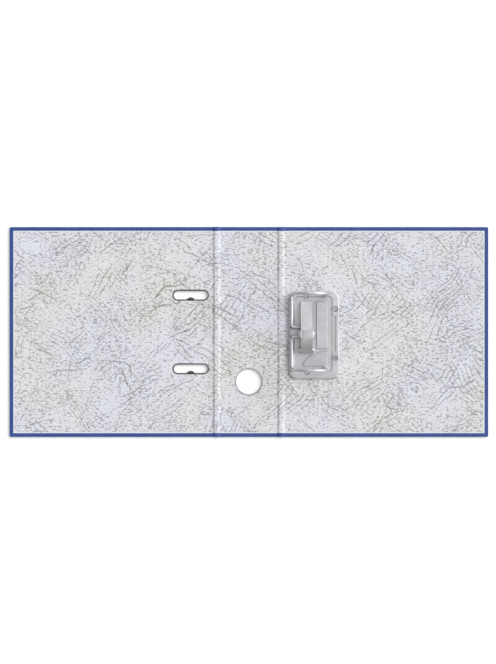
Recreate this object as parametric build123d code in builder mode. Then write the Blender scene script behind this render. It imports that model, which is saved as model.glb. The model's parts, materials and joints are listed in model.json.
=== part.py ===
from build123d import *
import os

# Lever arch file for A5 sheets, lying open with its inside up.
# The origin is under the middle of the spine, on the surface that the file lies on.
# +X runs from the spine to the back cover with the mechanism, +Y to the file's top, +Z up.

os.makedirs("parts", exist_ok=True)

# ---- case: driving dimensions in millimetres --------------------------------------------
file_height = 228.0
spine_pitch = 70.0  # from one hinge line to the other
cover_reach = 225.0  # from a hinge line to the free edge of its cover
hinge_width = 6.0  # creased strip between two stiff boards
wrap_thick = 0.3  # blue outer covering
board_thick = 2.0
lining_thick = 0.25  # printed inner paper
border = 4.0  # covering turned in around the edge
corner_radius = 1.5
paper_gap = 0.02  # glue line between layers

hinge_x = spine_pitch / 2
half_height = file_height / 2
board_low = wrap_thick
board_high = board_low + board_thick
inner_z = board_high + lining_thick
turn_in_z = board_high + wrap_thick

# ---- openings in the case ---------------------------------------------------------------
hole_pitch = 80.0  # spacing of the two filing holes
slot_x = -hinge_x - 28.2
slot_length = 38.4
slot_width = 10.4
eyelet_wall = 0.55
eyelet_flange = 1.4
tongue_width = 9.0
tongue_reach = 2.4
finger_hole_radius = 14.0
finger_hole_y = -54.0

# ---- label on the outside of the spine --------------------------------------------------
label_width = 44.0
label_low_y = -28.0
label_recess = 0.6
film_thick = 0.15
card_thick = 0.25

# ---- mechanism --------------------------------------------------------------------------
plate_width = 54.3
plate_length = 95.2
plate_x = hinge_x + 35.45
plate_y = -3.1
plate_corner = 8.7
sheet = 0.8
rim_rise = 2.5
field_top = inner_z + sheet
rim_top = inner_z + rim_rise
field_x = (49.2, 90.6)  # sunken field inside the rim
field_y = (-42.6, 38.8)
field_corner = 3.0

wire_radius = 1.85
post_radius = 2.1
axle_x = 46.1
axle_z = 6.0
post_x = 82.4
post_top = 47.0
post_tip = 0.9
arch_top = 71.3
arch_bend = 16.0
crank_reach = 15.5
crank_half = 5.0
crank_bend = 3.0
running_gap = 0.1

lever_low_x = 56.0
lever_high_x = 68.0
pivot_y = -19.6
pivot_z = 9.0
roller_y = -2.2
roller_z = 12.3
roller_radius = 4.0
roller_width = 8.0
pin_radius = 1.5
pin_fit = 0.05
lever_tip_y = 32.7

rivet_places = ((62.6, 39.6), (62.9, -43.4), (93.6, 25.0), (93.6, -28.0))
rivet_hole_radius = 1.6
rivet_radius = 1.5
rivet_head_radius = 2.9
rivet_roll_radius = 2.1
rivet_bore_radius = 0.95
dimple_radius = 2.9

LOW = Align.MIN
MID = Align.CENTER


def block(x_range, y_range, z_range, mode=Mode.ADD):
    """Box between two values on each axis, in the open part."""
    place = (x_range[0], y_range[0], z_range[0])
    with Locations(place):
        Box(
            x_range[1] - x_range[0],
            y_range[1] - y_range[0],
            z_range[1] - z_range[0],
            align=(LOW, LOW, LOW),
            mode=mode,
        )


def rod(x, y, z_range, radius, mode=Mode.ADD):
    """Upright cylinder between two heights, in the open part."""
    with Locations((x, y, z_range[0])):
        Cylinder(radius, z_range[1] - z_range[0], align=(MID, MID, LOW), mode=mode)


def cross_rod(x_range, y, z, radius, mode=Mode.ADD):
    """Cylinder along X, in the open part."""
    with Locations(Location((x_range[0], y, z), (0, 90, 0))):
        Cylinder(radius, x_range[1] - x_range[0], align=(MID, MID, LOW), mode=mode)


def save(part, name):
    """Label a finished piece and write it under its own name."""
    part.label = name
    export_step(part, f"parts/{name}.step")


def round_slot(y, z_range, grow, mode):
    """Round-ended slot shape between two heights, larger than an arch slot by grow all round."""
    half_straight = (slot_length - slot_width) / 2
    half_wide = slot_width / 2 + grow
    block((slot_x - half_straight, slot_x + half_straight), (y - half_wide, y + half_wide), z_range, mode)
    for x in (slot_x - half_straight, slot_x + half_straight):
        rod(x, y, z_range, half_wide, mode)


def arch_slots(grow=0.0):
    """Cut both arch slots through whatever part is open."""
    for y in (-hole_pitch / 2, hole_pitch / 2):
        round_slot(y, (-1, turn_in_z + 1), grow, Mode.SUBTRACT)


def finger_hole():
    """Cut the finger hole through whatever part is open."""
    rod(0, finger_hole_y, (-1, turn_in_z + 1), finger_hole_radius, Mode.SUBTRACT)


def rivet_holes():
    """Cut the four rivet holes through whatever part is open."""
    for x, y in rivet_places:
        rod(x, y, (-1, rim_top + 1), rivet_hole_radius, Mode.SUBTRACT)


def head_seats():
    """Sink a shallow seat for each rivet head into the outside of the back cover."""
    for x, y in rivet_places:
        rod(x, y, (-1, 0.9), rivet_head_radius + 0.2, Mode.SUBTRACT)


# ---- panels: the same three layers for the front cover, the spine and the back cover ----
free_edge = hinge_x + cover_reach
seam = hinge_width / 2
panels = {
    "front": (-free_edge, -hinge_x - seam, (1, 0)),
    "spine": (-hinge_x + seam, hinge_x - seam, (0, 0)),
    "back": (hinge_x + seam, free_edge, (0, 1)),
}
hinges = {"front": -hinge_x, "back": hinge_x}


def board_span(name):
    """X range of a panel's stiff board, drawn back from a free edge by the covering."""
    low, high, free = panels[name]
    return low + free[0] * (wrap_thick + paper_gap), high - free[1] * (wrap_thick + paper_gap)


def window_span(name):
    """X range of a panel's lining, which leaves the turned-in border at a free edge."""
    low, high, free = panels[name]
    return low + free[0] * border, high - free[1] * border


board_half = half_height - wrap_thick - paper_gap
window_half = half_height - border

for name in panels:
    low, high, free = panels[name]
    board_x = board_span(name)
    window_x = window_span(name)

    with BuildPart() as wrap:
        block((low, high), (-half_height, half_height), (0, turn_in_z))
        if name != "spine":
            corners = wrap.edges().filter_by(Axis.Z).group_by(Axis.X)[0 if free[0] else -1]
            fillet(corners, corner_radius)
        cavity = (board_x[0] - (1 - free[0]), board_x[1] + (1 - free[1]))
        block(cavity, (-board_half, board_half), (board_low, board_high), Mode.SUBTRACT)
        window = (window_x[0] - (1 - free[0]), window_x[1] + (1 - free[1]))
        block(window, (-window_half, window_half), (board_low, turn_in_z + 1), Mode.SUBTRACT)
        if name == "front":
            arch_slots(grow=eyelet_flange + 0.1)
        if name == "spine":
            half_label = label_width / 2 + 1
            recess_y = (label_low_y - 1, half_height)
            floor = (label_recess, label_recess + wrap_thick)
            recess_x = (-half_label, half_label)
            block(recess_x, (recess_y[0], half_height + 1), (-1, label_recess), Mode.SUBTRACT)
            floor_x = (-half_label - wrap_thick, half_label + wrap_thick)
            block(floor_x, (recess_y[0] - wrap_thick, recess_y[1]), floor)
            finger_hole()
        if name == "back":
            rivet_holes()
            head_seats()
    save(wrap.part, f"{name}_wrap")

    with BuildPart() as board:
        block(board_x, (-board_half, board_half), (board_low, board_high))
        if name == "front":
            arch_slots()
        if name == "spine":
            recess_half = label_width / 2 + 1 + wrap_thick + paper_gap
            recess_low = label_low_y - 1 - wrap_thick - paper_gap
            recess_x = (-recess_half, recess_half)
            depth = label_recess + wrap_thick + paper_gap
            block(recess_x, (recess_low, half_height), (-1, depth), Mode.SUBTRACT)
            finger_hole()
        if name == "back":
            rivet_holes()
            head_seats()
    save(board.part, f"{name}_board")

    with BuildPart() as lining:
        edge_gap = (window_x[0] + free[0] * 0.1, window_x[1] - free[1] * 0.1)
        block(edge_gap, (-window_half + 0.1, window_half - 0.1), (board_high, inner_z))
        if name == "front":
            arch_slots()
        if name == "spine":
            finger_hole()
        if name == "back":
            rivet_holes()
    save(lining.part, f"{name}_lining")

# ---- slot eyelets: thin metal linings with a rounded tongue at the lower edge -----------
for name, y in (("upper_slot_eyelet", hole_pitch / 2), ("lower_slot_eyelet", -hole_pitch / 2)):
    with BuildPart() as eyelet:
        round_slot(y, (0.03, board_low - 0.02), eyelet_flange, Mode.ADD)
        round_slot(y, (0.03, inner_z + 0.12), -0.05, Mode.ADD)
        round_slot(y, (-1, inner_z + 1), -eyelet_wall, Mode.SUBTRACT)
        tongue_foot = y - slot_width / 2 + eyelet_wall / 2
        tongue_rise = tongue_reach + eyelet_wall / 2
        with BuildSketch(Plane.XY.offset(0.8)):
            with BuildLine():
                foot_low = (slot_x - tongue_width / 2, tongue_foot)
                foot_high = (slot_x + tongue_width / 2, tongue_foot)
                ThreePointArc(foot_low, (slot_x, tongue_foot + tongue_rise), foot_high)
                Line(foot_high, foot_low)
            make_face()
        extrude(amount=0.6)
    save(eyelet.part, name)

# ---- creased hinges: covering, squeezed board and lining bead ---------------------------
crease_half = seam - 0.15
for name, x in hinges.items():
    strip = (x - crease_half, x + crease_half)

    with BuildPart() as hinge_wrap:
        block(strip, (-half_height, half_height), (0, wrap_thick))
        for side in (-1, 1):
            rim = sorted((side * half_height, side * (half_height - wrap_thick)))
            turn = sorted((side * half_height, side * window_half))
            block(strip, rim, (0, turn_in_z))
            block(strip, turn, (board_high, turn_in_z))
    save(hinge_wrap.part, f"{name}_hinge_wrap")

    with BuildPart() as hinge_board:
        core_half = crease_half - 0.3
        core = (x - core_half, x + core_half)
        block(core, (-board_half, board_half), (board_low + 0.02, board_high - 0.02))
        with Locations(Location((x, 0, board_low), (90, 0, 0))):
            Cylinder(0.8, 2 * board_half + 2, mode=Mode.SUBTRACT)
    save(hinge_board.part, f"{name}_hinge_board")

    with BuildPart() as hinge_lining:
        bead_rise = 1.0
        with BuildSketch(Plane.XZ.offset(-window_half + 0.1)):
            with BuildLine():
                foot_low = (x - crease_half, board_high)
                foot_high = (x + crease_half, board_high)
                ThreePointArc(foot_low, (x, board_high + bead_rise), foot_high)
                Line(foot_high, foot_low)
            make_face()
        extrude(amount=2 * (window_half - 0.1))
    save(hinge_lining.part, f"{name}_hinge_lining")

# ---- label pocket and its card ----------------------------------------------------------
film_low = 0.02
card_low = film_low + film_thick + 0.04
card_high = card_low + card_thick
pocket_top = label_recess - 0.01
card_high_y = half_height - 4

with BuildPart() as label_pocket:
    half_label = label_width / 2
    block((-half_label, half_label), (label_low_y, card_high_y), (film_low, film_low + film_thick))
    for side in (-1, 1):
        weld = sorted((side * half_label, side * (half_label - 1.5)))
        block(weld, (label_low_y, card_high_y), (film_low, pocket_top))
    block((-half_label, half_label), (label_low_y, label_low_y + 1.5), (film_low, pocket_top))
save(label_pocket.part, "label_pocket")

with BuildPart() as label_card:
    half_card = label_width / 2 - 2
    block((-half_card, half_card), (label_low_y + 2.5, card_high_y - 2), (card_low, card_high))
save(label_card.part, "label_card")

# ---- base plate: pressed steel tray with a raised rim and a rolled edge -----------------
curl_radius = wire_radius + running_gap + sheet
curl_low_y = -37.4
curl_high_y = 33.8
window_y = (-8.6, 8.6)
channel_radius = wire_radius + 0.4
field_size = (field_x[1] - field_x[0], field_y[1] - field_y[0])
field_middle = ((field_x[0] + field_x[1]) / 2, (field_y[0] + field_y[1]) / 2)

with BuildPart() as base_plate:
    with BuildSketch(Plane.XY.offset(inner_z + 0.01)):
        with Locations((plate_x, plate_y)):
            RectangleRounded(plate_width, plate_length, plate_corner)
    extrude(amount=rim_rise)
    top_edges = base_plate.edges().group_by(Axis.Z)[-1]
    fillet(top_edges, 0.9)
    # hollow under the raised rim
    with BuildSketch(Plane.XY.offset(inner_z)):
        with Locations((plate_x, plate_y)):
            wall = 2 * sheet
            RectangleRounded(plate_width - wall, plate_length - wall, plate_corner - sheet)
        with Locations((field_middle[0], field_middle[1])):
            RectangleRounded(
                field_size[0] + wall, field_size[1] + wall, field_corner + sheet, mode=Mode.SUBTRACT
            )
    extrude(amount=rim_rise - sheet, mode=Mode.SUBTRACT)
    # sunken field inside the rim, with sloping walls
    with BuildSketch(Plane.XY.offset(field_top)):
        with Locations((field_middle[0], field_middle[1])):
            RectangleRounded(field_size[0] - 1.2, field_size[1] - 1.2, field_corner)
    extrude(amount=rim_rise, taper=-20, mode=Mode.SUBTRACT)
    # long stiffening rib
    with BuildSketch(Plane.XY.offset(field_top - 0.2)):
        with Locations((79.2, 7.6)):
            RectangleRounded(12.8, 52.4, 1.2)
    extrude(amount=1.7, taper=25)
    # quarter-round stiffening hump near the lower end
    with BuildSketch(Plane.XY.offset(field_top - 0.2)):
        with BuildLine():
            hump_corner = (85.4, -37.2)
            hump_tip = (58.4, -37.2)
            hump_head = (85.4, -20.7)
            EllipticalCenterArc(hump_corner, 27.0, 16.5, start_angle=90, arc_size=90)
            Line(hump_tip, hump_corner)
            Line(hump_corner, hump_head)
        make_face()
    extrude(amount=2.1, taper=15)
    # groove along the far rim
    groove_floor = field_top + 0.1
    block((90.6, 95.2), (-22.6, 18.2), (inner_z + 0.01, groove_floor))
    block((90.6, 95.2), (-22.6, 18.2), (groove_floor - 0.1, rim_top))
    block((90.3, 94.4), (-21.8, 17.4), (groove_floor, rim_top + 1), Mode.SUBTRACT)
    # notch in the upper edge
    block((71.5, 84.9), (42.6, 50), (field_top, rim_top + 1), Mode.SUBTRACT)
    block((70.8, 85.6), (41.9, 44.4), (inner_z + 0.01, field_top))
    # dimples that the rivets sit in
    for x, y in rivet_places:
        rod(x, y, (inner_z + 0.01, rim_top), dimple_radius + 0.8)
    for x, y in rivet_places:
        rod(x, y, (field_top, rim_top + 2), dimple_radius, Mode.SUBTRACT)
    rivet_holes()
    # seats for the two posts
    for side in (-1, 1):
        rod(post_x, side * hole_pitch / 2, (inner_z + 0.01, rim_top), 3.6)
    # rolled edge that carries the arch axle
    curl_length = curl_high_y - curl_low_y
    with Locations(Location((axle_x, curl_low_y, axle_z), (-90, 0, 0))):
        Cylinder(curl_radius, curl_length, align=(MID, MID, LOW))
    with Locations(Location((axle_x, curl_low_y - 1, axle_z), (-90, 0, 0))):
        running_radius = wire_radius + running_gap
        Cylinder(running_radius, curl_length + 2, align=(MID, MID, LOW), mode=Mode.SUBTRACT)
    channel_spans = ((-43.5, curl_low_y), (curl_high_y, 43.2))
    for low_y, high_y in channel_spans:
        with Locations(Location((axle_x, low_y, axle_z), (-90, 0, 0))):
            Cylinder(channel_radius, high_y - low_y, align=(MID, MID, LOW), mode=Mode.SUBTRACT)
        block(
            (axle_x - channel_radius, axle_x + channel_radius),
            (low_y, high_y),
            (axle_z, axle_z + 4),
            Mode.SUBTRACT,
        )
    # window in the inner side of the rolled edge, where the crank comes out and swings up
    block((axle_x - 1.2, 52), window_y, (axle_z, rim_top + 6), Mode.SUBTRACT)
    block((axle_x + 0.2, 52), window_y, (field_top, axle_z + 1), Mode.SUBTRACT)
    block((axle_x + 0.2, 52), window_y, (inner_z + 0.01, field_top))
    # bores for the posts
    for side in (-1, 1):
        rod(post_x, side * hole_pitch / 2, (inner_z - 1, rim_top + 1), 2.3, Mode.SUBTRACT)
save(base_plate.part, "base_plate")

# ---- fixed posts: shouldered pins riveted into the plate --------------------------------
for name, side in (("upper_post", 1), ("lower_post", -1)):
    with BuildPart() as post:
        with BuildSketch(Plane.XZ.offset(-side * hole_pitch / 2)):
            with BuildLine():
                Polyline(
                    (post_x, inner_z + 0.02),
                    (post_x + 2.28, inner_z + 0.02),
                    (post_x + 2.28, rim_top + 0.02),
                    (post_x + 3.2, rim_top + 0.02),
                    (post_x + 3.2, rim_top + 0.6),
                    (post_x + 2.7, rim_top + 1.0),
                    (post_x + post_radius, rim_top + 1.0),
                    (post_x + post_radius, post_top),
                    (post_x + 0.7, post_top + post_tip),
                    (post_x, post_top + post_tip),
                    close=True,
                )
            make_face()
        revolve(axis=Axis((post_x, side * hole_pitch / 2, 0), (0, 0, 1)))
    save(post.part, name)

# ---- cover rivets: hollow, flush on the outside, curled over in the plate's dimples -----
with BuildPart() as plate_rivets:
    for x, y in rivet_places:
        rod(x, y, (0.25, field_top + 0.9), rivet_radius)
        rod(x, y, (field_top + 0.02, field_top + 0.9), rivet_roll_radius)
        rod(x, y, (-1, field_top + 2), rivet_bore_radius, Mode.SUBTRACT)
    rolled = plate_rivets.edges().filter_by(GeomType.CIRCLE).group_by(Axis.Z)[-1]
    fillet(rolled, 0.35)
save(plate_rivets.part, "plate_rivets")

with BuildPart() as rivet_washers:
    for x, y in rivet_places:
        rod(x, y, (0.1, 0.8), rivet_head_radius)
        rod(x, y, (-1, 2), rivet_radius + 0.02, Mode.SUBTRACT)
save(rivet_washers.part, "rivet_washers")

# ---- lever bracket: two ears on a foot, riveted to the plate ----------------------------
ear_thick = 1.0
ear_gap = 0.4
ears = (
    (lever_low_x - ear_gap - ear_thick, lever_low_x - ear_gap),
    (lever_high_x + ear_gap, lever_high_x + ear_gap + ear_thick),
)

with BuildPart() as lever_bracket:
    foot_y = (pivot_y - 3.8, pivot_y + 5.5)
    block((ears[0][0], ears[1][1]), foot_y, (field_top + 0.02, field_top + 0.8))
    for ear in ears:
        with BuildSketch(Plane.YZ.offset(ear[0])):
            with BuildLine():
                shoulder = 3.2
                Polyline(
                    (pivot_y - shoulder, pivot_z),
                    (foot_y[0] + 0.4, field_top + 0.4),
                    (foot_y[1] - 0.4, field_top + 0.4),
                    (pivot_y + shoulder, pivot_z),
                )
                ThreePointArc(
                    (pivot_y + shoulder, pivot_z),
                    (pivot_y, pivot_z + shoulder),
                    (pivot_y - shoulder, pivot_z),
                )
            make_face()
        extrude(amount=ear_thick)
    ear_span = (ears[0][0] - 1, ears[1][1] + 1)
    cross_rod(ear_span, pivot_y, pivot_z, pin_radius + pin_fit, Mode.SUBTRACT)
save(lever_bracket.part, "lever_bracket")

# ---- lever: pressed channel, highest over the roller, sloping to a finger tip -----------
lever_top = 17.8
saddle_y = (roller_y - 3.6, roller_y + 3.6)
saddle_x = (54.2, 69.8)


def lever_outline(inset):
    """Side outline of the lever, or of its hollow when given the sheet thickness."""
    low = -3.0 if inset else 0.0
    heel = 3.0 - inset
    return (
        (pivot_y - heel, pivot_z - 2.6 + low),
        (pivot_y - heel, pivot_z + 1.0),
        (pivot_y - 1.2, pivot_z + 3.0 - inset),
        (-8.6, lever_top - inset),
        (4.0, lever_top - inset),
        (lever_tip_y - 7, 8.6 - inset),
        (lever_tip_y - (1.2 if inset else 0), 7.6 - inset),
        (lever_tip_y - (1.2 if inset else 0), 5.6 + low),
        (lever_tip_y - 8, 5.6 + low),
        (12.0, 8.7 + low),
        (-12.0, 8.7 + low),
        (pivot_y + 3.0, pivot_z - 2.6 + low),
    )


top_line = lever_outline(0)[2:6]
groove_depth = 0.6
groove_top = [(y, z + 2) for y, z in top_line]
groove_floor_line = [(y, z - groove_depth) for y, z in top_line]

with BuildPart() as lever:
    with BuildSketch(Plane.YZ.offset(lever_low_x)):
        with BuildLine():
            Polyline(*lever_outline(0), close=True)
        make_face()
    extrude(amount=lever_high_x - lever_low_x)
    # raised saddle over the roller, with a boss on each side for the roller pin
    block(saddle_x, saddle_y, (roller_z - 2.6, lever_top + 0.8))
    saddle_edges = lever.edges().filter_by(Axis.Y).filter_by_position(Axis.Z, 18.5, 18.7)
    fillet(saddle_edges, 1.2)
    with BuildSketch(Plane.YZ.offset(lever_low_x + 1)):
        with BuildLine():
            Polyline(*lever_outline(1.0), close=True)
        make_face()
    extrude(amount=lever_high_x - lever_low_x - 2, mode=Mode.SUBTRACT)
    # groove pressed along the near edge of the lever's top
    with BuildSketch(Plane.YZ.offset(lever_low_x + 0.9)):
        with BuildLine():
            Polyline(*(groove_top + groove_floor_line[::-1]), close=True)
        make_face()
    extrude(amount=1.0, mode=Mode.SUBTRACT)
    cross_rod((50, 80), pivot_y, pivot_z, pin_radius + 0.02, Mode.SUBTRACT)
    cross_rod((50, 80), roller_y, roller_z, pin_radius + 0.02, Mode.SUBTRACT)
save(lever.part, "lever")

with BuildPart() as lever_pivot_pin:
    cross_rod((ears[0][0] - 0.3, ears[1][1] + 0.3), pivot_y, pivot_z, pin_radius)
    cross_rod((ears[0][0] - 1.1, ears[0][0] - 0.3), pivot_y, pivot_z, 2.3)
    cross_rod((ears[1][1] + 0.3, ears[1][1] + 1.1), pivot_y, pivot_z, 2.3)
    rims = lever_pivot_pin.edges().filter_by(GeomType.CIRCLE)
    outer_rims = rims.group_by(Axis.X)[0] + rims.group_by(Axis.X)[-1]
    fillet(outer_rims, 0.5)
save(lever_pivot_pin.part, "lever_pivot_pin")

with BuildPart() as roller_pin:
    cross_rod((saddle_x[0] - 0.2, saddle_x[1] + 0.2), roller_y, roller_z, pin_radius)
    cross_rod((saddle_x[0] - 1.0, saddle_x[0] - 0.05), roller_y, roller_z, 2.2)
    cross_rod((saddle_x[1] + 0.05, saddle_x[1] + 1.0), roller_y, roller_z, 2.2)
    rims = roller_pin.edges().filter_by(GeomType.CIRCLE)
    outer_rims = rims.group_by(Axis.X)[0] + rims.group_by(Axis.X)[-1]
    fillet(outer_rims, 0.6)
save(roller_pin.part, "roller_pin")

with BuildPart() as roller:
    roller_x = (lever_low_x + lever_high_x - roller_width) / 2
    cross_rod((roller_x, roller_x + roller_width), roller_y, roller_z, roller_radius)
    chamfer(roller.edges().filter_by(GeomType.CIRCLE), 0.4)
    cross_rod((50, 80), roller_y, roller_z, pin_radius + pin_fit, Mode.SUBTRACT)
save(roller.part, "roller")

# ---- arch wire: both arches, the axle and its crank bent from one wire ------------------
half_pitch = hole_pitch / 2
arch_foot = post_top + 0.4

with BuildPart() as arch_wire:
    for side in (-1, 1):
        arch_plane = Plane.XZ.offset(-side * half_pitch)
        with BuildLine(arch_plane) as arch_line:
            FilletPolyline(
                (axle_x, axle_z),
                (axle_x, arch_top),
                (post_x, arch_top),
                (post_x, arch_foot),
                radius=arch_bend,
            )
        with BuildSketch(Plane.XY.offset(axle_z)):
            with Locations((axle_x, side * half_pitch)):
                Circle(wire_radius)
        sweep(path=arch_line.wire())
        with Locations((axle_x, side * half_pitch, axle_z)):
            Sphere(wire_radius)
    with BuildLine(Plane.XY.offset(axle_z)) as axle_line:
        FilletPolyline(
            (axle_x, -half_pitch),
            (axle_x, -crank_half),
            (axle_x + crank_reach, -crank_half),
            (axle_x + crank_reach, crank_half),
            (axle_x, crank_half),
            (axle_x, half_pitch),
            radius=crank_bend,
        )
    with BuildSketch(Plane.XZ.offset(half_pitch)):
        with Locations((axle_x, axle_z)):
            Circle(wire_radius)
    sweep(path=axle_line.wire())
    # shallow cup in each free end, seated over the post's tip
    for side in (-1, 1):
        with Locations((post_x, side * half_pitch, arch_foot - 0.01)):
            Cone(1.7, 0.55, 0.85, align=(MID, MID, LOW), mode=Mode.SUBTRACT)
save(arch_wire.part, "arch_wire")
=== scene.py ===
import bpy
import bmesh
import json
import math
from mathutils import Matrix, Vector


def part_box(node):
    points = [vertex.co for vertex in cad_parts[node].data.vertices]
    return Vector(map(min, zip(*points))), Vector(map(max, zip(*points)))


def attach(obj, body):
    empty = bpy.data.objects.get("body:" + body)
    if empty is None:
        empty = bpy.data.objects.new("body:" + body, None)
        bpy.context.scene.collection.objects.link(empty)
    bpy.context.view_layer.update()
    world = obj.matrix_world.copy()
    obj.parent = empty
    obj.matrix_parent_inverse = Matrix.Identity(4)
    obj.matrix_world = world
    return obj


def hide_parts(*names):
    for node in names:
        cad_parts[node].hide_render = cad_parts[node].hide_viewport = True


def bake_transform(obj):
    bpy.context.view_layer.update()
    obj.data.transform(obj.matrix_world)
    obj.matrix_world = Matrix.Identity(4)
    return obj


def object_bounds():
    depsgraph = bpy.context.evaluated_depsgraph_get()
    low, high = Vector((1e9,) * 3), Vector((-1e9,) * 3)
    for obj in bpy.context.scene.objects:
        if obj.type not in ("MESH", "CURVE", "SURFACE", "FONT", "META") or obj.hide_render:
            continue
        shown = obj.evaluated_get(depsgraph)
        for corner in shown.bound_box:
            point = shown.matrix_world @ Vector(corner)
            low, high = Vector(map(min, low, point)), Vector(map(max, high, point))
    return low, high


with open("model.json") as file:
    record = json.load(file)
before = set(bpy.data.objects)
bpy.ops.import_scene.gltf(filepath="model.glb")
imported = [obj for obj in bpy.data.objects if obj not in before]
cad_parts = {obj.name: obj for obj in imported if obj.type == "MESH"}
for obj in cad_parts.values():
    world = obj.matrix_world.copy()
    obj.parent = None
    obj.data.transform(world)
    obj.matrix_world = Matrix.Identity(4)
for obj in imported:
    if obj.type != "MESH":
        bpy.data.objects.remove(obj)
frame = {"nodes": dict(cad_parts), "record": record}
cad_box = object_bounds()

scene = bpy.context.scene
MM = 0.001


# ---- node helpers -----------------------------------------------------------------------
class Graph:
    """A material's node tree, with short calls for the nodes used here."""

    def __init__(self, name):
        self.material = bpy.data.materials.new(name)
        self.material.use_nodes = True
        self.tree = self.material.node_tree
        self.shader = self.tree.nodes["Principled BSDF"]
        self.coords = self.tree.nodes.new("ShaderNodeTexCoord").outputs["Object"]

    def node(self, kind, **values):
        made = self.tree.nodes.new(kind)
        for key, value in values.items():
            setattr(made, key, value)
        return made

    def link(self, source, target):
        self.tree.links.new(source, target)

    def feed(self, socket, value):
        if isinstance(value, bpy.types.NodeSocket):
            self.link(value, socket)
        else:
            socket.default_value = value

    def mapping(self, vector, scale=(1, 1, 1), turn=(0, 0, 0), move=(0, 0, 0)):
        made = self.node("ShaderNodeMapping")
        self.feed(made.inputs["Vector"], vector)
        made.inputs["Scale"].default_value = scale
        made.inputs["Rotation"].default_value = turn
        made.inputs["Location"].default_value = move
        return made.outputs["Vector"]

    def noise(self, vector, scale, detail=3.0, rough=0.5):
        made = self.node("ShaderNodeTexNoise")
        self.feed(made.inputs["Vector"], vector)
        made.inputs["Scale"].default_value = scale
        made.inputs["Detail"].default_value = detail
        made.inputs["Roughness"].default_value = rough
        return made.outputs

    def cells(self, vector, scale, feature="F1"):
        made = self.node("ShaderNodeTexVoronoi", feature=feature)
        self.feed(made.inputs["Vector"], vector)
        made.inputs["Scale"].default_value = scale
        return made.outputs["Distance"]

    def ramp(self, value, low, high, from_value=0.0, to_value=1.0, smooth=True):
        made = self.node("ShaderNodeMapRange")
        made.interpolation_type = "SMOOTHSTEP" if smooth else "LINEAR"
        self.feed(made.inputs["Value"], value)
        made.inputs["From Min"].default_value = low
        made.inputs["From Max"].default_value = high
        made.inputs["To Min"].default_value = from_value
        made.inputs["To Max"].default_value = to_value
        return made.outputs["Result"]

    def math(self, operation, a, b=0.0):
        made = self.node("ShaderNodeMath", operation=operation)
        self.feed(made.inputs[0], a)
        self.feed(made.inputs[1], b)
        return made.outputs[0]

    def mix(self, factor, a, b):
        made = self.node("ShaderNodeMix", data_type="RGBA")
        self.feed(made.inputs["Factor"], factor)
        colours = [s for s in made.inputs if s.type == "RGBA"]
        for socket, value in zip(colours, (a, b)):
            if isinstance(value, tuple):
                value = (*value, 1.0) if len(value) == 3 else value
            self.feed(socket, value)
        return [s for s in made.outputs if s.type == "RGBA"][0]

    def shift(self, vector, amount_output, strength):
        """Vector pushed about by a noise colour, so that straight features wander."""
        centred = self.node("ShaderNodeVectorMath", operation="SUBTRACT")
        self.feed(centred.inputs[0], amount_output)
        centred.inputs[1].default_value = (0.5, 0.5, 0.5)
        scaled = self.node("ShaderNodeVectorMath", operation="SCALE")
        self.link(centred.outputs[0], scaled.inputs[0])
        scaled.inputs["Scale"].default_value = strength
        added = self.node("ShaderNodeVectorMath", operation="ADD")
        self.feed(added.inputs[0], vector)
        self.link(scaled.outputs[0], added.inputs[1])
        return added.outputs[0]

    def bump(self, height, distance, strength):
        made = self.node("ShaderNodeBump")
        made.inputs["Strength"].default_value = strength
        made.inputs["Distance"].default_value = distance
        self.feed(made.inputs["Height"], height)
        return made.outputs["Normal"]

    def finish(self, colour, roughness, normal=None, **fixed):
        if isinstance(colour, tuple):
            colour = (*colour, 1.0)
        self.feed(self.shader.inputs["Base Color"], colour)
        self.feed(self.shader.inputs["Roughness"], roughness)
        if normal is not None:
            self.link(normal, self.shader.inputs["Normal"])
        for key, value in fixed.items():
            self.shader.inputs[key.replace("_", " ")].default_value = value
        return self.material


def srgb(r, g, b):
    """Linear colour of an 8-bit sRGB one."""
    def one(v):
        v /= 255
        return v / 12.92 if v <= 0.04045 else ((v + 0.055) / 1.055) ** 2.4
    return one(r), one(g), one(b)


# ---- measures read from the CAD nodes ---------------------------------------------------
sheet_low, sheet_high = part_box("front_lining")
finger_mount = [m for m in frame["record"]["mounts"] if m["name"] == "finger_hole"][0]
finger_centre_y = finger_mount["pos_m"][1]
finger_radius = finger_mount["dims"]["r_mm"] * MM


def island_centres(node):
    """Centre of each separate solid of a node, on the plan."""
    work = bmesh.new()
    work.from_mesh(frame["nodes"][node].data)
    bmesh.ops.remove_doubles(work, verts=work.verts, dist=1e-6)
    left = set(work.verts)
    centres = []
    while left:
        waiting = [left.pop()]
        points = []
        while waiting:
            vert = waiting.pop()
            points.append(vert.co.copy())
            for edge in vert.link_edges:
                other = edge.other_vert(vert)
                if other in left:
                    left.discard(other)
                    waiting.append(other)
        x_mid = (min(p.x for p in points) + max(p.x for p in points)) / 2
        y_mid = (min(p.y for p in points) + max(p.y for p in points)) / 2
        centres.append((x_mid, y_mid, 0.0))
    work.free()
    return sorted(centres)


rivet_centres = island_centres("plate_rivets")


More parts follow.
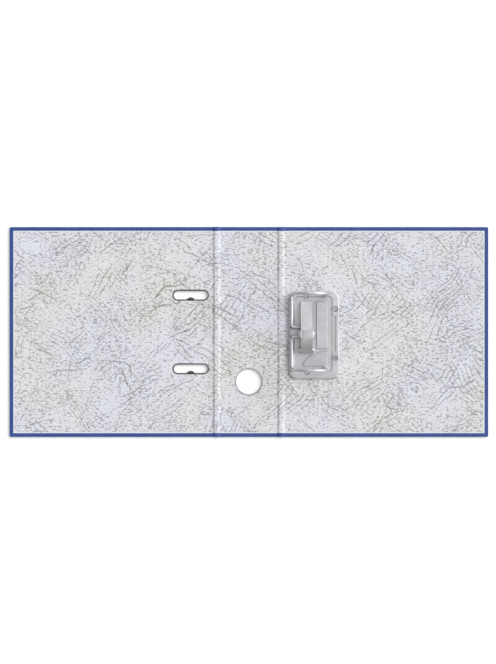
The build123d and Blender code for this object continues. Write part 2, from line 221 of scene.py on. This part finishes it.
# ---- materials --------------------------------------------------------------------------
def crease_bundle(g, vector, turn, pitch, seed, cover):
    """Bundles of a few long, near-parallel, gently curved creases that run in one direction."""
    slow = g.noise(g.mapping(vector, move=(seed, 0, 0)), 9.0, 1.0)["Color"]
    bent = g.shift(vector, slow, 0.070)
    bent = g.shift(bent, g.noise(vector, 45.0, 2.0)["Color"], 0.009)
    bent = g.shift(bent, g.noise(vector, 200.0, 2.0)["Color"], 0.0020)
    laid = g.mapping(bent, turn=(0, 0, turn), move=(seed, seed * 1.7, 0))
    wave = g.node("ShaderNodeTexWave", wave_type="BANDS", bands_direction="X")
    g.feed(wave.inputs["Vector"], laid)
    wave.inputs["Scale"].default_value = 0.314 / pitch
    lines = g.ramp(wave.outputs["Fac"], 0.88, 0.99)
    patch = g.noise(g.mapping(laid, scale=(58.0, 15.0, 1.0)), 1.0, 0.0)["Fac"]
    broken = g.noise(g.mapping(laid, scale=(420.0, 70.0, 1.0)), 1.0, 2.0)["Fac"]
    mask = g.math("MULTIPLY", g.ramp(patch, cover, cover + 0.05), g.ramp(broken, 0.36, 0.54))
    return g.math("MULTIPLY", lines, mask)


def crackle(g, vector, scale, levels, width, seed):
    """Broken, worm-like marks along the level lines of a noise."""
    moved = g.mapping(vector, move=(seed, seed * 0.6, 0))
    level = g.math("FRACT", g.math("MULTIPLY", g.noise(moved, scale, 1.0, 0.5)["Fac"], levels))
    away = g.math("ABSOLUTE", g.math("SUBTRACT", level, 0.5))
    return g.ramp(away, width * 0.35, width, 1.0, 0.0)


def lining_paper():
    """White paper printed and embossed with a crackled leather grain."""
    g = Graph("lining_paper")
    flat = g.mapping(g.coords, scale=(1, 1, 0.02))
    # each bundle's direction in radians, spacing in metres, seed and coverage threshold
    bundles = (
        (0.62, 0.0050, 1.3, 0.60),
        (-0.80, 0.0048, 4.1, 0.60),
        (1.10, 0.0056, 7.7, 0.62),
        (2.05, 0.0062, 9.4, 0.63),
    )
    creases = None
    for turn, pitch, seed, cover in bundles:
        lines = crease_bundle(g, flat, turn, pitch, seed, cover)
        creases = lines if creases is None else g.math("MAXIMUM", creases, lines)
    worn = g.ramp(g.noise(flat, 16.0, 4.0, 0.65)["Fac"], 0.36, 0.60)
    wide = g.mapping(flat, scale=(0.62, 1.15, 1.0))
    threads = g.math(
        "MAXIMUM", crackle(g, wide, 300.0, 3.0, 0.24, 2.2), crackle(g, flat, 420.0, 2.0, 0.22, 5.1)
    )
    gaps = g.noise(g.mapping(wide, move=(3.0, 0, 0)), 430.0, 1.0)["Fac"]
    cut = g.ramp(worn, 0.0, 1.0, 0.55, 0.44, False)
    threads = g.math("MULTIPLY", threads, g.ramp(g.math("SUBTRACT", gaps, cut), 0.0, 0.06))
    dots = g.noise(g.mapping(flat, move=(9.0, 0, 0)), 700.0, 1.0)["Fac"]
    dots = g.ramp(dots, 0.60, 0.70, 0.0, 0.75)
    fine = g.noise(flat, 1300.0, 2.0, 0.6)["Fac"]
    specks = g.math("MAXIMUM", threads, dots)
    tint = g.ramp(g.noise(flat, 10.0, 2.0)["Fac"], 0.42, 0.62)
    paper = g.mix(tint, srgb(224, 225, 233), srgb(225, 226, 225))
    cloud = g.ramp(g.noise(flat, 60.0, 3.0)["Fac"], 0.35, 0.70, 0.0, 0.40)
    paper = g.mix(cloud, paper, srgb(210, 211, 215))
    paper = g.mix(g.ramp(fine, 0.45, 0.75, 0.0, 0.40), paper, srgb(190, 191, 195))
    mark = g.mix(tint, srgb(112, 113, 120), srgb(122, 119, 104))
    colour = g.mix(g.math("MULTIPLY", specks, 0.64), paper, mark)
    colour = g.mix(g.math("MULTIPLY", creases, 0.70), colour, mark)
    # pale bluish strip, about a millimetre wide, along the sheet's edges at the turned-in border
    parts = g.node("ShaderNodeSeparateXYZ")
    g.feed(parts.inputs[0], g.coords)
    edges = []
    for axis, limit in (("X", -sheet_low.x), ("Y", sheet_high.y)):
        away = g.math("ABSOLUTE", parts.outputs[axis])
        edges.append(g.ramp(away, limit - 1.1 * MM, limit - 0.7 * MM))
    edge = g.math("MAXIMUM", edges[0], edges[1])
    colour = g.mix(g.math("MULTIPLY", edge, 0.85), colour, srgb(226, 231, 244))
    # painted shade: dark ring round the finger hole, heavier towards the hole's lower (-Y) side
    reach = g.node("ShaderNodeVectorMath", operation="DISTANCE")
    g.feed(reach.inputs[0], g.mapping(g.coords, scale=(1, 1, 0)))
    reach.inputs[1].default_value = (0.0, finger_centre_y, 0.0)
    shade_ring_low, shade_ring_high = finger_radius + 0.55 * MM, finger_radius + 1.15 * MM
    ring = g.ramp(reach.outputs["Value"], shade_ring_low, shade_ring_high, 1.0, 0.0)
    hole_low, hole_high = finger_centre_y - finger_radius, finger_centre_y + finger_radius
    lower = g.ramp(parts.outputs["Y"], hole_low, hole_high, 0.95, 0.6)
    colour = g.mix(g.math("MULTIPLY", ring, lower), colour, srgb(74, 76, 84))
    height = g.math("SUBTRACT", g.math("MULTIPLY", fine, 0.15), g.math("MULTIPLY", specks, 0.6))
    height = g.math("SUBTRACT", height, creases)
    normal = g.bump(height, 0.00016, 0.8)
    return g.finish(colour, g.ramp(worn, 0.0, 1.0, 0.52, 0.64, False), normal)


def covering():
    """Blue covering film with a fine pressed grain and slightly rubbed, uneven colour."""
    g = Graph("covering")
    grain = g.cells(g.shift(g.coords, g.noise(g.coords, 500.0, 2.0)["Color"], 0.001), 1500.0)
    drift = g.noise(g.coords, 30.0, 5.0, 0.6)["Fac"]
    base = g.mix(g.ramp(drift, 0.3, 0.7), srgb(40, 69, 138), srgb(51, 80, 148))
    colour = g.mix(g.ramp(grain, 0.1, 0.7, 0.0, 0.35), base, srgb(36, 60, 120))
    scuffs = g.noise(g.mapping(g.coords, scale=(1, 0.08, 1), turn=(0, 0, 0.6)), 420.0, 3.0)["Fac"]
    colour = g.mix(g.ramp(scuffs, 0.64, 0.80, 0.0, 0.35), colour, srgb(98, 122, 182))
    normal = g.bump(grain, 0.00012, 0.6)
    return g.finish(colour, g.ramp(drift, 0.3, 0.7, 0.42, 0.56, False), normal)


def greyboard():
    """Recycled greyboard seen only at cut edges: fibres and flecks."""
    g = Graph("greyboard")
    layers = g.noise(g.mapping(g.coords, scale=(0.3, 0.3, 4.0)), 900.0, 4.0)["Fac"]
    fleck = g.ramp(g.noise(g.coords, 1600.0, 2.0)["Fac"], 0.60, 0.72)
    colour = g.mix(layers, srgb(176, 168, 154), srgb(140, 132, 120))
    colour = g.mix(g.math("MULTIPLY", fleck, 0.6), colour, srgb(92, 86, 80))
    return g.finish(colour, 0.85, g.bump(layers, 0.0002, 0.7))


def rivet_distance(g):
    """Distance on the plan from the nearest rivet's axis."""
    plan = g.mapping(g.coords, scale=(1, 1, 0))
    nearest = None
    for centre in rivet_centres:
        away = g.node("ShaderNodeVectorMath", operation="DISTANCE")
        g.feed(away.inputs[0], plan)
        away.inputs[1].default_value = centre
        away = away.outputs["Value"]
        nearest = away if nearest is None else g.math("MINIMUM", nearest, away)
    return nearest


def plated_steel(name, tone, roughness, brushed=(1, 1, 1), bump=0.00003, rivet_shade=None):
    """Nickel plated steel: soft mottling, drawing marks, fine scratches and painted shade at the
    rivets.
    """
    g = Graph(name)
    mottle = g.noise(g.coords, 160.0, 5.0, 0.65)["Fac"]
    marks = g.noise(g.mapping(g.coords, scale=brushed), 900.0, 4.0, 0.6)["Fac"]
    slanted = g.mapping(g.coords, scale=(1, 0.06, 1), turn=(0, 0, 0.9))
    scratches = g.cells(slanted, 500.0, "DISTANCE_TO_EDGE")
    scratch = g.math("MULTIPLY", g.ramp(scratches, 0.0, 0.012, 1.0, 0.0), g.ramp(mottle, 0.5, 0.6))
    light = tuple(min(1.0, v * 1.04) for v in tone)
    dark = tuple(v * 0.95 for v in tone)
    colour = g.mix(g.ramp(mottle, 0.3, 0.7), dark, light)
    colour = g.mix(g.math("MULTIPLY", scratch, 0.4), colour, (0.85, 0.85, 0.87))
    # painted shade: a near-black ring round each rivet's dimple and a dark disc over each rivet's
    # bore, broken up by noise
    if rivet_shade:
        inner, outer, strength = rivet_shade
        away = rivet_distance(g)
        ring = g.ramp(away, outer, outer + 0.5 * MM, 1.0, 0.0)
        if inner:
            ring = g.math("MULTIPLY", ring, g.ramp(away, inner - 0.3 * MM, inner))
        patchy = g.ramp(g.noise(g.coords, 340.0, 1.0)["Fac"], 0.40, 0.60, 0.35, 1.0)
        rivet_shade_amount = g.math("MULTIPLY", g.math("MULTIPLY", ring, patchy), strength)
        colour = g.mix(rivet_shade_amount, colour, (0.02, 0.02, 0.022))
    spread = g.ramp(mottle, 0.3, 0.7, roughness - 0.05, roughness + 0.08, False)
    rough = g.math("ADD", spread, g.math("MULTIPLY", marks, 0.06))
    height = g.math("ADD", g.math("MULTIPLY", marks, 0.5), mottle)
    return g.finish(colour, rough, g.bump(height, bump, 0.6), Metallic=1.0)


def clear_film():
    """Clear glossy film with faint waviness."""
    g = Graph("clear_film")
    wave = g.noise(g.coords, 60.0, 2.0)["Fac"]
    dust = g.ramp(g.noise(g.coords, 1200.0, 2.0)["Fac"], 0.66, 0.76, 0.08, 0.2)
    return g.finish((0.9, 0.92, 0.95), dust, g.bump(wave, 0.0003, 0.4), Alpha=0.28)


def card():
    """Blank off-white card with paper fibres."""
    g = Graph("card")
    fibre = g.noise(g.mapping(g.coords, scale=(1, 0.3, 1)), 1100.0, 4.0, 0.7)["Fac"]
    colour = g.mix(fibre, srgb(226, 225, 220), srgb(240, 240, 238))
    return g.finish(colour, 0.8, g.bump(fibre, 0.00008, 0.6))


materials = {
    "lining_paper": lining_paper(),
    "covering": covering(),
    "greyboard": greyboard(),
    # plated sheet and rivets get painted rivet shade: a near-black ring round each dimple, a dark
    # disc at each bore
    "plated_sheet": plated_steel(
        "plated_sheet", (0.60, 0.60, 0.62), 0.40, rivet_shade=(2.1 * MM, 2.7 * MM, 0.95)
    ),
    "plated_wire": plated_steel("plated_wire", (0.60, 0.60, 0.62), 0.40, (1, 1, 0.05)),
    "rivet_steel": plated_steel(
        "rivet_steel", (0.86, 0.86, 0.88), 0.30, rivet_shade=(0.0, 0.95 * MM, 1.0)
    ),
    "eyelet_steel": plated_steel("eyelet_steel", (0.10, 0.10, 0.11), 0.5),
    "roller_steel": plated_steel("roller_steel", (0.40, 0.40, 0.42), 0.32, (0.05, 1, 1)),
    "clear_film": clear_film(),
    "card": card(),
}
node_slot = {row["node"]: row["material_slot"] for row in frame["record"]["subparts"]}


def paint(obj, slot_name):
    """Give a mesh one material, the one of its slot."""
    obj.data.materials.clear()
    obj.data.materials.append(materials[slot_name])


# ---- softened copies: folded covering and pressed steel have no knife edges -------------
EDGE_ANGLE = math.radians(30)
EDGE_SEGMENTS = 3


def softened(node, body, width, extra=None):
    """Copy of a CAD node with rounded edges and any extra geometry, in place of the node."""
    mesh = frame["nodes"][node].data.copy()
    piece = bpy.data.objects.new(f"{node}_rounded", mesh)
    scene.collection.objects.link(piece)
    work = bmesh.new()
    work.from_mesh(mesh)
    bmesh.ops.remove_doubles(work, verts=work.verts, dist=1e-6)
    bmesh.ops.dissolve_limit(
        work, angle_limit=math.radians(1.0), verts=work.verts, edges=work.edges, delimit={"NORMAL"}
    )
    if extra:
        extra(work)
    work.to_mesh(mesh)
    work.free()
    bevel = piece.modifiers.new("edge", "BEVEL")
    bevel.width = width
    bevel.segments = EDGE_SEGMENTS
    bevel.limit_method = "ANGLE"
    bevel.angle_limit = EDGE_ANGLE
    bevel.harden_normals = True
    for face in mesh.polygons:
        face.use_smooth = True
    mesh.set_sharp_from_angle(angle=EDGE_ANGLE)
    paint(piece, node_slot[node])
    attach(piece, body)
    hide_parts(node)


node_body = {n: b for b, names in frame["record"]["behaviour"]["bodies"].items() for n in names}
for node, obj in frame["nodes"].items():
    paint(obj, node_slot[node])


SLOT_HALF_WIDTH = 5.2
EYELET_FLANGE = 1.4
LIP_STEPS = 24


def rolled_lip(eyelet_low, eyelet_high, top_z):
    """Function that adds a lip, rolled over the lining all round an arch slot, to a bmesh."""
    inset = (SLOT_HALF_WIDTH + EYELET_FLANGE) * MM
    left, right = eyelet_low.x + inset, eyelet_high.x - inset
    centre_y = (eyelet_low.y + eyelet_high.y) / 2
    section = ((-0.45, 0.0), (-0.45, 0.20), (-0.1, 0.34), (0.45, 0.30), (0.75, 0.12), (0.8, 0.0))

    def add(work):
        rings = []
        for offset, rise in section:
            radius = (SLOT_HALF_WIDTH + offset) * MM
            ring = []
            for side, x in ((1, right), (-1, left)):
                for i in range(LIP_STEPS + 1):
                    turn = math.pi * i / LIP_STEPS - math.pi / 2
                    px = x + side * radius * math.cos(turn)
                    py = centre_y + side * radius * math.sin(turn)
                    ring.append(work.verts.new((px, py, top_z + rise * MM)))
            rings.append(ring)
        for inner, outer in zip(rings, rings[1:] + rings[:1]):
            count = len(inner)
            for i in range(count):
                j = (i + 1) % count
                work.faces.new((inner[i], inner[j], outer[j], outer[i]))
        bmesh.ops.recalc_face_normals(work, faces=work.faces)

    return add


for node in ("upper_slot_eyelet", "lower_slot_eyelet"):
    lip = rolled_lip(*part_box(node), sheet_high.z - 0.05 * MM)
    softened(node, "front_cover", 0.1 * MM, extra=lip)

for node, width in (
    ("front_wrap", 0.35), ("back_wrap", 0.35), ("spine_wrap", 0.2),
    ("base_plate", 0.4), ("lever", 0.45), ("lever_bracket", 0.25),
):
    softened(node, node_body[node], width * MM)


# ---- hinge strips: lining bead and covering over each hinge -----------------------------
def closed_strip(work, xs, top, bottom, y_low, y_high, steps):
    """Closed slab that follows top(x, y) and bottom(x, y), added to a bmesh."""
    ys = [y_low + (y_high - y_low) * i / steps for i in range(steps + 1)]
    upper = [[work.verts.new((x, y, top(x, y))) for x in xs] for y in ys]
    lower = [[work.verts.new((x, y, bottom(x, y))) for x in xs] for y in ys]
    last_x, last_y = len(xs) - 1, len(ys) - 1
    for j in range(last_y):
        for i in range(last_x):
            work.faces.new((upper[j][i], upper[j][i + 1], upper[j + 1][i + 1], upper[j + 1][i]))
            work.faces.new((lower[j][i], lower[j + 1][i], lower[j + 1][i + 1], lower[j][i + 1]))
        for i in (0, last_x):
            work.faces.new((upper[j][i], upper[j + 1][i], lower[j + 1][i], lower[j][i]))
    for i in range(last_x):
        for j in (0, last_y):
            work.faces.new((upper[j][i], lower[j][i], lower[j][i + 1], upper[j][i + 1]))


def make_piece(name, work, slot_name):
    """Finished mesh object from a bmesh, with outward faces and its slot's material."""
    bmesh.ops.recalc_face_normals(work, faces=work.faces)
    mesh = bpy.data.meshes.new(name)
    work.to_mesh(mesh)
    work.free()
    for face in mesh.polygons:
        face.use_smooth = True
    mesh.set_sharp_from_angle(angle=math.radians(40))
    piece = bpy.data.objects.new(name, mesh)
    scene.collection.objects.link(piece)
    paint(piece, slot_name)
    return piece


def smooth(t):
    """Smooth step from 0 to 1."""
    t = min(1.0, max(0.0, t))
    return t * t * (3 - 2 * t)


BEND_HALF = 2.9 * MM
BEAD_FOOT = (-4.5 * MM, 4.4 * MM)
BEAD_CROWN = (-1.6 * MM, 1.3 * MM)
BEAD_RISE = 1.35 * MM
STRIP_HALF = 4.6 * MM
STRIP_STEPS = 32
LENGTH_STEPS = 60
LAP = 0.03 * MM
wrap_low, wrap_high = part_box("spine_wrap")
lining_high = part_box("spine_lining")[1]


def bead(offset, y, seed):
    """Height of the crease bead above the paper, a little uneven along its length."""
    uneven = 1 + 0.10 * math.sin(y * 61 + seed) + 0.07 * math.sin(y * 173 + 2 * seed)
    if offset < 0:
        share = (offset - BEAD_FOOT[0]) / (BEAD_CROWN[0] - BEAD_FOOT[0])
    else:
        share = (BEAD_FOOT[1] - offset) / (BEAD_FOOT[1] - BEAD_CROWN[1])
    return BEAD_RISE * uneven * smooth(share)


def hinge_strips(side, seed):
    """Lining bead and covering strip over one hinge."""
    low_corner, high_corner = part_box(f"{side}_hinge_lining")
    x_mid = (low_corner.x + high_corner.x) / 2
    xs = [x_mid + STRIP_HALF * (2 * i / STRIP_STEPS - 1) for i in range(STRIP_STEPS + 1)]
    half_high = wrap_high.y
    half_window = lining_high.y

    def paper_top(x, y):
        return lining_high.z + LAP + bead(x - x_mid, y, seed)

    def paper_under(x, y):
        return paper_top(x, y) - 0.1 * MM

    def turn_in_top(x, y):
        return wrap_high.z + LAP + bead(x - x_mid, y, seed)

    work = bmesh.new()
    closed_strip(work, xs, paper_top, paper_under, -half_window, half_window, LENGTH_STEPS)
    paper = make_piece(f"{side}_hinge_bead", work, "lining_paper")
    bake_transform(paper)
    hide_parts(f"{side}_hinge_lining")

    work = bmesh.new()
    gap = [x_mid + BEND_HALF * (2 * i / STRIP_STEPS - 1) * 1.04 for i in range(STRIP_STEPS + 1)]
    closed_strip(
        work, gap, lambda x, y: wrap_low.z + 0.3 * MM, lambda x, y: wrap_low.z,
        -half_high, half_high, LENGTH_STEPS,
    )
    for sign in (-1, 1):
        edges = sorted((sign * half_high, sign * (half_window - 0.3 * MM)))
        closed_strip(
            work, xs, turn_in_top, lambda x, y: turn_in_top(x, y) - 0.12 * MM, edges[0], edges[1], 4,
        )
        wall = sorted((sign * half_high, sign * (half_high - 0.4 * MM)))
        closed_strip(
            work, gap, lambda x, y: turn_in_top(x, y) - 0.13 * MM,
            lambda x, y: wrap_low.z + 0.31 * MM, wall[0], wall[1], 1,
        )
    cover = make_piece(f"{side}_hinge_cover", work, "covering")
    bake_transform(cover)
    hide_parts(f"{side}_hinge_wrap", f"{side}_hinge_board")


hinge_strips("front", 0.7)
hinge_strips("back", 2.9)

# ---- camera, light and floor ------------------------------------------------------------
low, high = Vector(cad_box[0]), Vector(cad_box[1])
middle = (low + high) / 2


def lamp(name, kind, place, energy):
    """Light at a place, turned to face the origin."""
    data = bpy.data.lights.new(name, kind)
    data.energy = energy
    made = bpy.data.objects.new(name, data)
    scene.collection.objects.link(made)
    made.location = place
    made.rotation_euler = Vector(place).to_track_quat("Z", "Y").to_euler()
    return data


key_data = lamp("key_light", "SUN", (1.15, 0.60, 0.95), 2.15)
key_data.angle = math.radians(56)
fill_data = lamp("fill_light", "AREA", (-0.9, -0.2, 1.5), 2.0)
fill_data.shape = "RECTANGLE"
fill_data.size, fill_data.size_y = 1.6, 1.6

# sky that is brighter towards the key light's side
world = bpy.data.worlds.new("studio")
world.use_nodes = True
sky = world.node_tree
sky_background = sky.nodes["Background"]
sky_background.inputs["Strength"].default_value = 1.0
sky_axis = sky.nodes.new("ShaderNodeVectorMath")
sky_axis.operation = "DOT_PRODUCT"
sky_axis.inputs[1].default_value = (0.82, 0.28, 0.25)
sky_ramp = sky.nodes.new("ShaderNodeMapRange")
sky_ramp.interpolation_type = "SMOOTHSTEP"
sky_ramp.inputs["From Min"].default_value = -0.45
sky_ramp.inputs["From Max"].default_value = 0.60
sky_ramp.inputs["To Min"].default_value = 0.26
sky_ramp.inputs["To Max"].default_value = 0.86
sky_place = sky.nodes.new("ShaderNodeTexCoord")
sky.links.new(sky_place.outputs["Generated"], sky_axis.inputs[0])
sky.links.new(sky_axis.outputs["Value"], sky_ramp.inputs["Value"])
sky.links.new(sky_ramp.outputs["Result"], sky_background.inputs["Color"])
scene.world = world

FLOOR_GAP = 0.0002
bpy.ops.mesh.primitive_plane_add(size=6.0, location=(0, 0, low.z - FLOOR_GAP))
floor = bpy.context.object
floor.name = "studio_floor"
floor_graph = Graph("studio_floor")
floor.data.materials.append(
    floor_graph.finish(
        (0.97, 0.97, 0.97), 0.9, Specular_IOR_Level=0.2,
        Emission_Color=(1.0, 1.0, 1.0, 1.0), Emission_Strength=0.14,
    )
)

CAMERA_HEIGHT = 1.405
camera_data = bpy.data.cameras.new("camera")
camera_data.lens = 70.0
camera_data.clip_end = 20.0
camera = bpy.data.objects.new("camera", camera_data)
scene.collection.objects.link(camera)
camera.location = (middle.x - 0.001, middle.y, CAMERA_HEIGHT)
scene.camera = camera
scene.view_settings.view_transform = "Standard"
